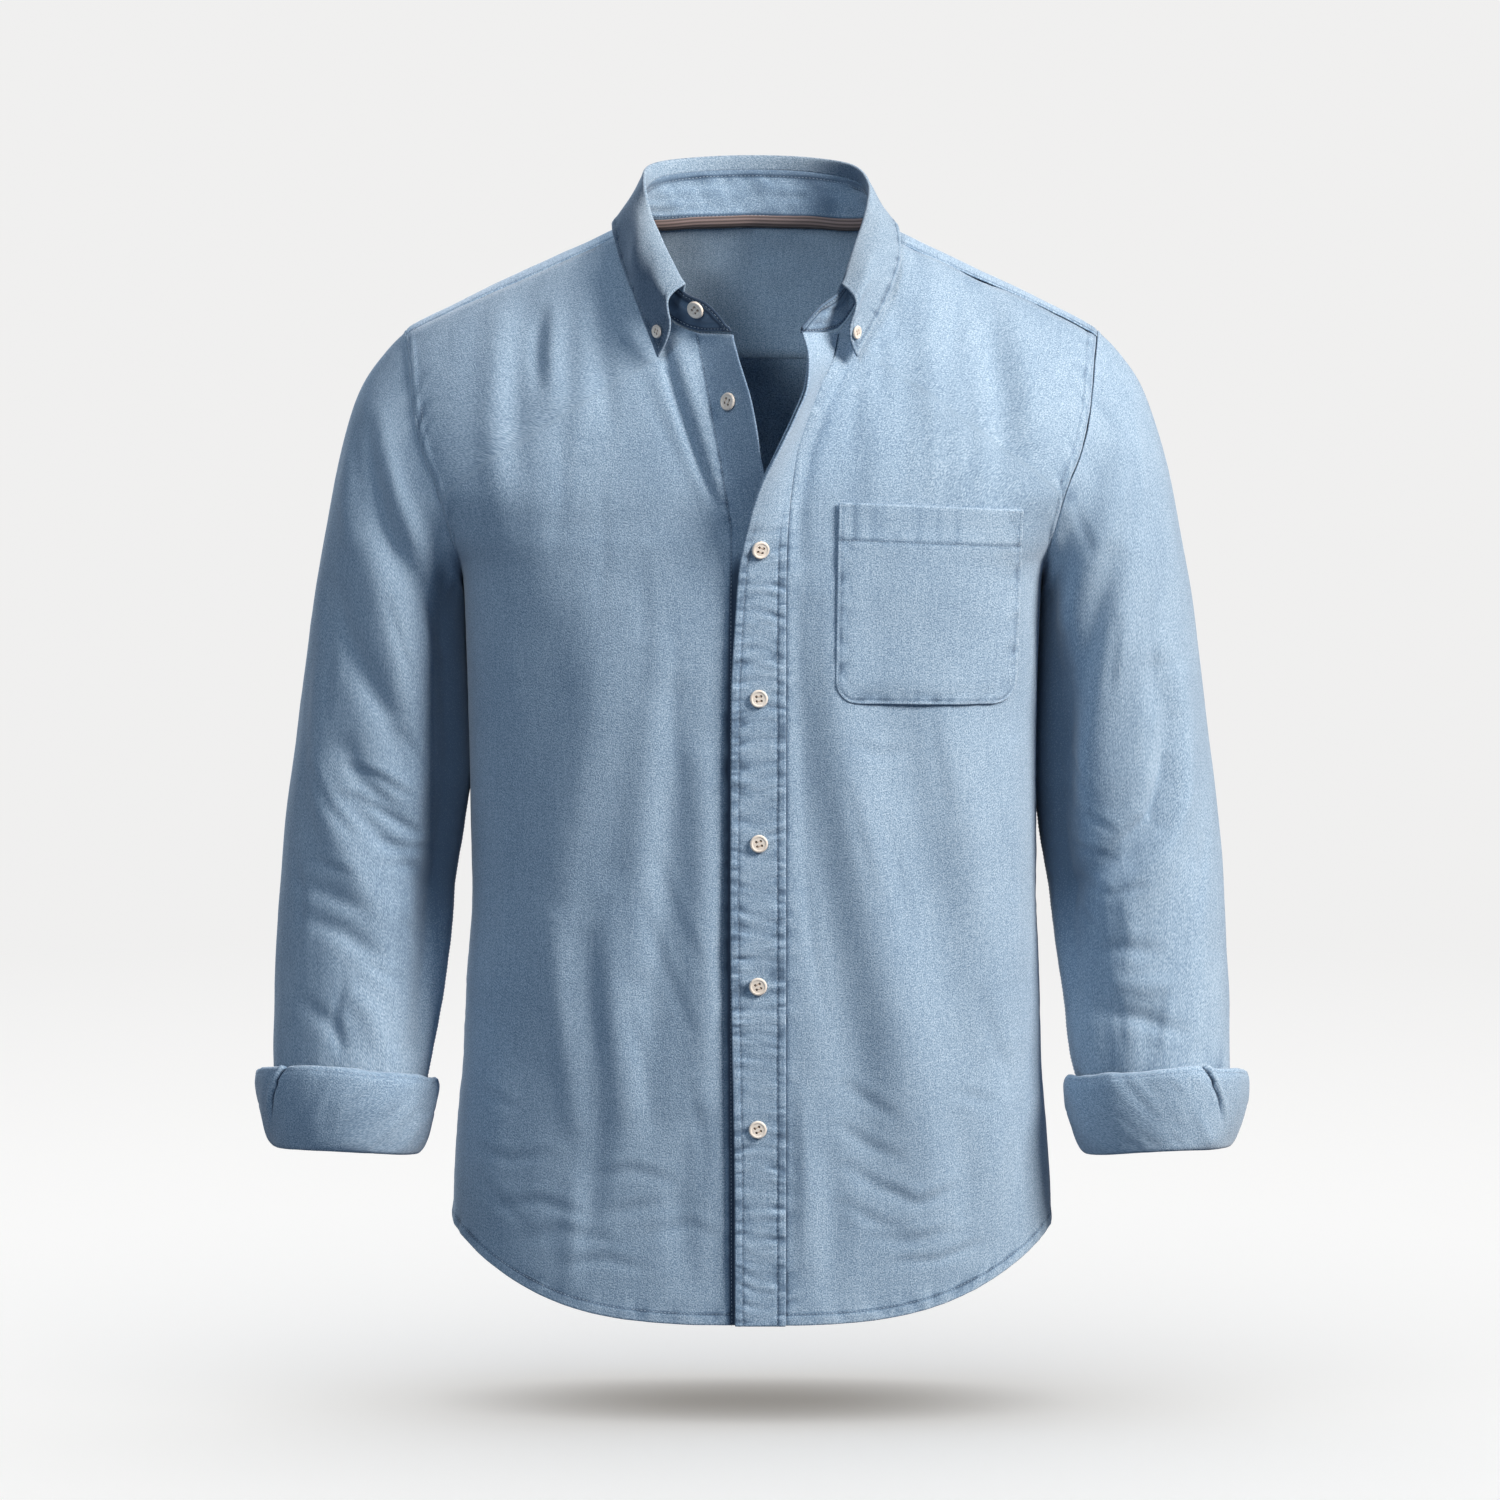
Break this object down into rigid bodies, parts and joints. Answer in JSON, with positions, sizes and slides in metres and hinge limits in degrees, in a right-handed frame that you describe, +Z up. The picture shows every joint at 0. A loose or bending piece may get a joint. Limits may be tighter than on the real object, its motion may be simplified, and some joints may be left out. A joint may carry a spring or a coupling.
{
  "type": "button-down shirt",
  "caption": "Light-blue brushed twill button-down shirt, open at the neck, with a chest pocket, curved hem and rolled cuffs.",
  "frame": {"origin": "middle of the neck, level with the shoulder line at the collar, where the shirt rests on its wearer", "axes": "+X to the wearer's left, +Y to the wearer's back, +Z up"},
  "size_m": [0.6562, 0.2512, 0.7569],
  "materials": {
    "twill": "brushed, matte",
    "twill_band": "brushed, matte, in several layers",
    "tape": "woven stripes, matte",
    "button": "pale horn look, satin"
  },
  "bodies": {
    "root": {"front_left": "twill", "front_right": "twill", "placket": "twill_band", "pocket": "twill", "back": "twill", "yoke": "twill", "collar_stand": "twill_band", "collar_leaf": "twill", "neck_tape": "tape", "sleeve_left": "twill", "sleeve_right": "twill", "cuff_left": "twill_band", "cuff_right": "twill_band", "button_front_1": "button", "button_front_2": "button", "button_front_3": "button", "button_front_4": "button", "button_front_5": "button", "button_front_6": "button", "button_front_7": "button", "button_collar_left": "button", "button_collar_right": "button"}
  },
  "joints": []
}
